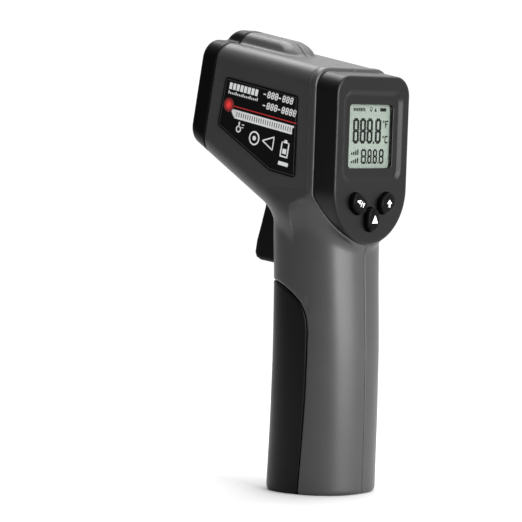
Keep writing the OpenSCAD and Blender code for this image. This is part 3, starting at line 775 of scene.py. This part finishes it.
LABEL_EDGE = [(-26.1, 6.9), (4.2, 6.9), (8.1, -16.9), (-2.3, -16.9), (-26.6, -7.8)]
BEAM_W = -0.9
BEAM_START = -23.6


def block_row():
    """Row of slanted blocks with a scale of ticks under it."""
    left = -24.6
    blocks = [bar(left + k * 1.62, 4.1, left + k * 1.62 + 1.2, 6.2, 0.1) for k in range(8)]
    ticks = [bar(left + k * 0.78, 2.6, left + k * 0.78 + 0.4, 3.6 if k % 4 == 0 else 3.2) for k in range(17)]
    return blocks + ticks


def figure_rows():
    """Two rows of figure eights. A dash stands in place of the first and the fifth figure."""
    shapes = []
    for row, start, count in ((4.4, -9.6, 8), (0.9, -9.2, 9)):
        for k in range(count):
            x = start + k * 1.62
            if k in (0, 4):
                shapes.append(bar(x, row + 0.75, x + 1.1, row + 1.15))
            else:
                shapes += digit(x, row, 1.3, 2.2, 0.4, 0.1)
    return shapes


def band():
    """White band under the beam, with a ladder of bars in its middle."""
    shapes = [[(-22.6, -1.9), (5.2, -1.9), (5.1, -2.5), (-22.2, -2.5)],
              [(-20.9, -3.9), (4.8, -3.9), (4.7, -4.6), (-20.4, -4.6)],
              [(-22.2, -2.4), (-20.2, -2.4), (-20.2, -4.1), (-20.9, -4.1)]]
    return shapes + [bar(-20.3 + k * 0.97, -4.0, -19.68 + k * 0.97, -2.4) for k in range(26)]


def pictograms():
    """A thermometer, a target, a widening measuring cone and a cell over a bar."""
    thermometer = ring(-17.9, -7.6, 0.9, 0.45, 14)
    thermometer += [bar(-18.2, -6.9, -17.6, -5.3), bar(-16.7, -6.1, -15.7, -5.8),
                    bar(-16.7, -7.0, -15.9, -6.7)]
    target = ring(-10.6, -9.0, 2.0, 0.5, 28) + [disc(-10.6, -9.0, 0.75, 20)]
    cone = [line((-7.0, -9.0), (-2.2, -6.9), 0.42), line((-7.0, -9.0), (-2.2, -11.1), 0.42),
            bar(-2.5, -11.1, -2.1, -6.9)]
    cell = [bar(1.1, -11.9, 1.6, -7.4), bar(4.0, -11.9, 4.5, -7.4), bar(1.1, -7.8, 4.5, -7.4),
            bar(1.1, -12.3, 4.5, -11.8), bar(2.2, -7.4, 3.4, -6.8), bar(2.0, -11.2, 3.6, -9.6)]
    return thermometer + target + cone + cell + [bar(1.0, -14.9, 5.2, -13.7)]


white = block_row() + figure_rows() + band() + pictograms()
grey = [line(a, b, 0.12) for a, b in zip(LABEL_EDGE, LABEL_EDGE[1:] + LABEL_EDGE[:1])]
red = [line((-23.2, BEAM_W), (6.0, BEAM_W), 0.32)]
for side, label in ((-1, "left"), (1, "right")):
    prints(f"{label}_label_print", white, on_label(side), 0.03, INK)
    prints(f"{label}_label_border", grey, on_label(side), 0.03, GREY_INK)
    prints(f"{label}_label_beam", red, on_label(side), 0.035, BEAM)
    # Spot at the beam's start: stacked discs of print whose painted glow grows towards the middle.
    for k, radius in enumerate((2.3, 1.85, 1.4, 1.0, 0.6)):
        spot = [disc(BEAM_START, BEAM_W, radius, 28)]
        prints(f"{label}_label_glow_{k}", spot, on_label(side), 0.04 + 0.012 * k, GLOW[k])

# ---------- camera, light and floor ----------

view = bpy.data.cameras.new("camera")
view.lens, view.sensor_width = 167.6, 36.0
view.clip_start, view.clip_end = 0.05, 20
camera = bpy.data.objects.new("camera", view)
AZ, YAW, PITCH = math.radians(48.5), math.radians(1.39), math.radians(-2.38)
STAND = Vector((510.2, -576.7, 104.6)) * MM
level = Matrix.Rotation(YAW, 3, "Z") @ Vector((-math.cos(AZ), math.sin(AZ), 0))
forward = level * math.cos(PITCH) + Vector((0, 0, math.sin(PITCH)))
right = forward.cross(Vector((0, 0, 1))).normalized()
up = right.cross(forward)
camera.matrix_world = Matrix.Translation(STAND) @ Matrix((right, up, -forward)).transposed().to_4x4()
bpy.context.collection.objects.link(camera)
bpy.context.scene.camera = camera


def lamp(name, place, width, height, power):
    """Soft rectangular light aimed at the middle of the object, in metres and watts."""
    data = bpy.data.lights.new(name, "AREA")
    data.shape = "RECTANGLE"
    data.size, data.size_y = width, height
    data.energy = power
    made = bpy.data.objects.new(name, data)
    made.location = place
    made.rotation_euler = (MIDDLE - Vector(place)).to_track_quat("-Z", "Y").to_euler()
    bpy.context.collection.objects.link(made)


MIDDLE = Vector((0, 0, 0.08))
lamp("key_right", (0.95, 0.0, 0.3), 0.7, 0.9, 15)
lamp("strip", (0.82, -0.30, 0.2), 0.04, 0.5, 3.2)
lamp("top", (-0.1, 0.25, 1.0), 0.9, 0.9, 14)

# The studio is bright behind and to the right of the object, and dim on its left
world = bpy.data.worlds.new("studio")
world.use_nodes = True
tree = world.node_tree
place = tree.nodes.new("ShaderNodeTexCoord")
toward = tree.nodes.new("ShaderNodeVectorMath")
toward.operation = "DOT_PRODUCT"
toward.inputs[1].default_value = (0.25, 0.93, 0.27)
ramp = tree.nodes.new("ShaderNodeMapRange")
ramp.interpolation_type = "SMOOTHSTEP"
ramp.inputs["From Min"].default_value, ramp.inputs["From Max"].default_value = -0.8, 0.5
ramp.inputs["To Min"].default_value, ramp.inputs["To Max"].default_value = 0.12, 1.05
tree.links.new(place.outputs["Generated"], toward.inputs[0])
tree.links.new(toward.outputs["Value"], ramp.inputs["Value"])
tree.links.new(ramp.outputs["Result"], tree.nodes["Background"].inputs["Strength"])
tree.nodes["Background"].inputs["Color"].default_value = (1, 1, 1, 1)
bpy.context.scene.world = world
bpy.context.scene.view_settings.view_transform = "Standard"

FLOOR_R, FLOOR_CORNERS = 0.55, 96
floor_mesh = bpy.data.meshes.new("floor")
rim = [(x, y, 0) for x, y in disc(0, 0, FLOOR_R, FLOOR_CORNERS)]
floor_mesh.from_pydata(rim, [], [range(FLOOR_CORNERS)])
floor_mesh.materials.append(principled("pale_floor", (0.6, 0.6, 0.6), 0.8))
floor = bpy.data.objects.new("floor", floor_mesh)
bpy.context.collection.objects.link(floor)
